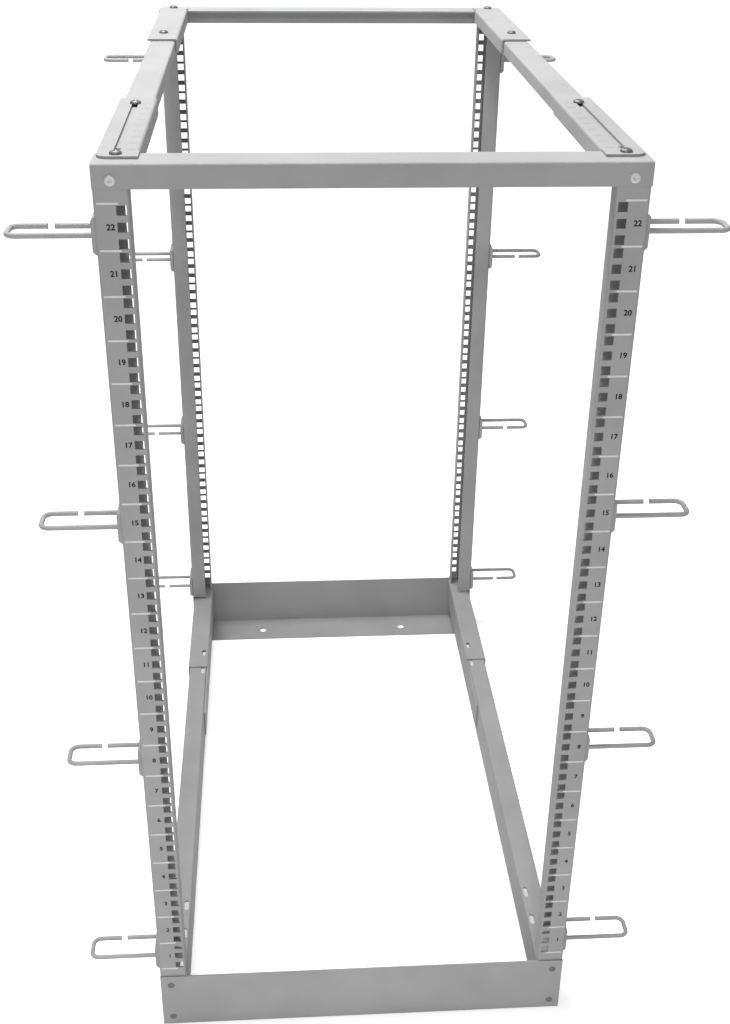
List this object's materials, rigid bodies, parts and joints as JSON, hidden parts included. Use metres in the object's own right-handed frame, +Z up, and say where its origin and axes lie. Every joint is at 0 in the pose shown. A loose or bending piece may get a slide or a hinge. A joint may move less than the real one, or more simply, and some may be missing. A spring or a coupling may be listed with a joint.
{
  "type": "four post open frame rack",
  "caption": "Open frame equipment rack with punched and unit-marked posts, telescoping side rails and cable rings on the outside.",
  "frame": {"origin": "middle of the plan at floor level", "axes": "+X to the right seen from the front, +Y from the front posts to the rear posts, +Z up"},
  "size_m": [0.6916, 0.946, 1.1159],
  "materials": {
    "grey_paint": "satin"
  },
  "bodies": {
    "front_frame": {"top_beam_front": "grey_paint", "base_beam_front": "grey_paint", "post_front_right": "grey_paint", "top_rail_front_right": "grey_paint", "base_rail_front_right": "grey_paint", "ring_front_right_u1": "grey_paint", "ring_front_right_u8": "grey_paint", "ring_front_right_u15": "grey_paint", "ring_front_right_u22": "grey_paint", "post_front_left": "grey_paint", "top_rail_front_left": "grey_paint", "base_rail_front_left": "grey_paint", "ring_front_left_u1": "grey_paint", "ring_front_left_u8": "grey_paint", "ring_front_left_u15": "grey_paint", "ring_front_left_u22": "grey_paint"},
    "rear_frame": {"top_beam_rear": "grey_paint", "base_beam_rear": "grey_paint", "post_rear_right": "grey_paint", "top_rail_rear_right": "grey_paint", "top_slider_right": "grey_paint", "base_rail_rear_right": "grey_paint", "ring_rear_right_u1": "grey_paint", "ring_rear_right_u8": "grey_paint", "ring_rear_right_u15": "grey_paint", "ring_rear_right_u22": "grey_paint", "post_rear_left": "grey_paint", "top_rail_rear_left": "grey_paint", "top_slider_left": "grey_paint", "base_rail_rear_left": "grey_paint", "ring_rear_left_u1": "grey_paint", "ring_rear_left_u8": "grey_paint", "ring_rear_left_u15": "grey_paint", "ring_rear_left_u22": "grey_paint"}
  },
  "joints": [
    {"name": "depth_slide", "type": "slide", "parent": "front_frame", "child": "rear_frame", "axis": [0, 1, 0], "range_m": [0, 0.15]}
  ]
}
